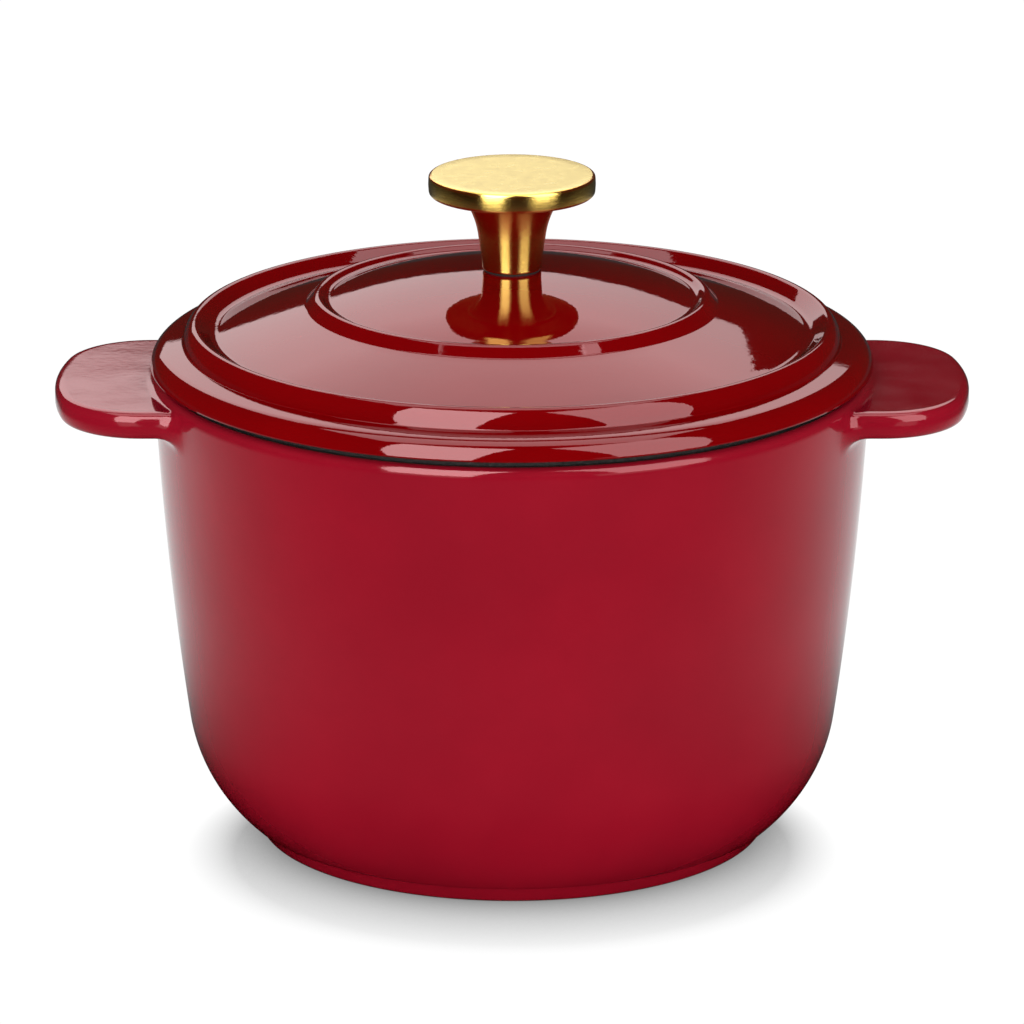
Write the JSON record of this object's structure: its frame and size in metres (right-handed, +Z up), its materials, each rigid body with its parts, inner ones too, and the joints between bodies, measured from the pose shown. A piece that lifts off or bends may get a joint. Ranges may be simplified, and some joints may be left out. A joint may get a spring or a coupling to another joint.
{
  "type": "dutch oven",
  "caption": "Deep round enamelled cast iron pot with two tab handles and a stepped lift-off lid with a disc-topped metal knob.",
  "frame": {"origin": "centre of the foot ring, on the surface the pot stands on", "axes": "+Z up along the pot's axis, +X along the line through the two handles, +Y to the back"},
  "size_m": [0.2692, 0.2128, 0.1989],
  "materials": {
    "bare_iron": "matt black fired ground coat on cast iron",
    "red_enamel": "fired crimson enamel, glossy on the lid and satin on the pot",
    "cream_enamel": "fired gloss cream enamel",
    "gold_steel": "gold-tone brushed steel with a polished top face",
    "black_silicone": "matt",
    "plain_steel": "bright zinc-plated steel"
  },
  "bodies": {
    "pot": {"pot_casting": "bare_iron", "pot_outer_enamel": "red_enamel", "pot_inner_enamel": "cream_enamel"},
    "lid": {"lid_casting": "bare_iron", "lid_outer_enamel": "red_enamel", "lid_inner_enamel": "cream_enamel", "knob": "gold_steel", "knob_gasket": "black_silicone", "knob_screw": "plain_steel", "flat_washer": "plain_steel", "lock_washer": "plain_steel"}
  },
  "joints": [
    {"name": "lid_lift", "type": "slide", "parent": "pot", "child": "lid", "axis": [0, 0, 1], "range_m": [0, 0.12]}
  ]
}
